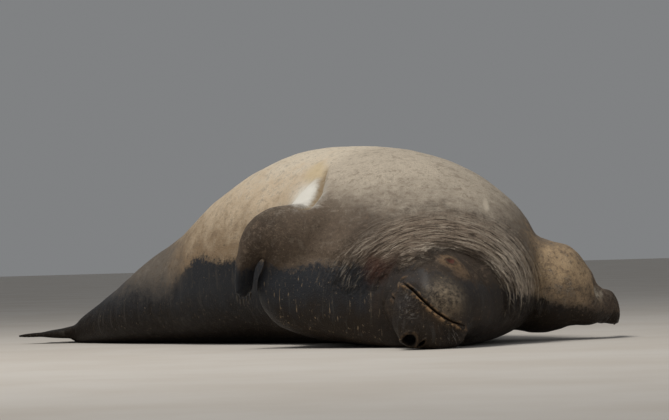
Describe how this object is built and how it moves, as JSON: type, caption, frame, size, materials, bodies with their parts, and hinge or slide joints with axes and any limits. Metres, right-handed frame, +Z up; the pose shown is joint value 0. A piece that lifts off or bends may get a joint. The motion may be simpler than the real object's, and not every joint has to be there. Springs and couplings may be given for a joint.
{
  "type": "elephant seal",
  "caption": "Life-size bull elephant seal asleep on its back, head towards the viewer and crown on the ground, fore flippers drooping from a massive chest.",
  "frame": {"origin": "middle of the animal's box, on the floor that it lies on", "axes": "+X along the animal's length, towards the head; +Y across it, towards the animal's right fore flipper; +Z up from the floor"},
  "size_m": [4.1389, 2.1401, 1.0663],
  "materials": {
    "hide": "short damp fur, satin",
    "eye": "glossy",
    "claw": "satin",
    "whisker": "satin"
  },
  "bodies": {
    "root": {"head": "hide", "neck": "hide", "chest": "hide", "belly": "hide", "hips": "hide", "tail": "hide", "left_fore_flipper": "hide", "right_fore_flipper": "hide", "left_hind_flipper": "hide", "right_hind_flipper": "hide", "left_eye": "eye", "right_eye": "eye", "left_claw_1": "claw", "left_claw_2": "claw", "left_claw_3": "claw", "left_claw_4": "claw", "left_claw_5": "claw", "right_claw_1": "claw", "right_claw_2": "claw", "right_claw_3": "claw", "right_claw_4": "claw", "right_claw_5": "claw"}
  },
  "joints": []
}
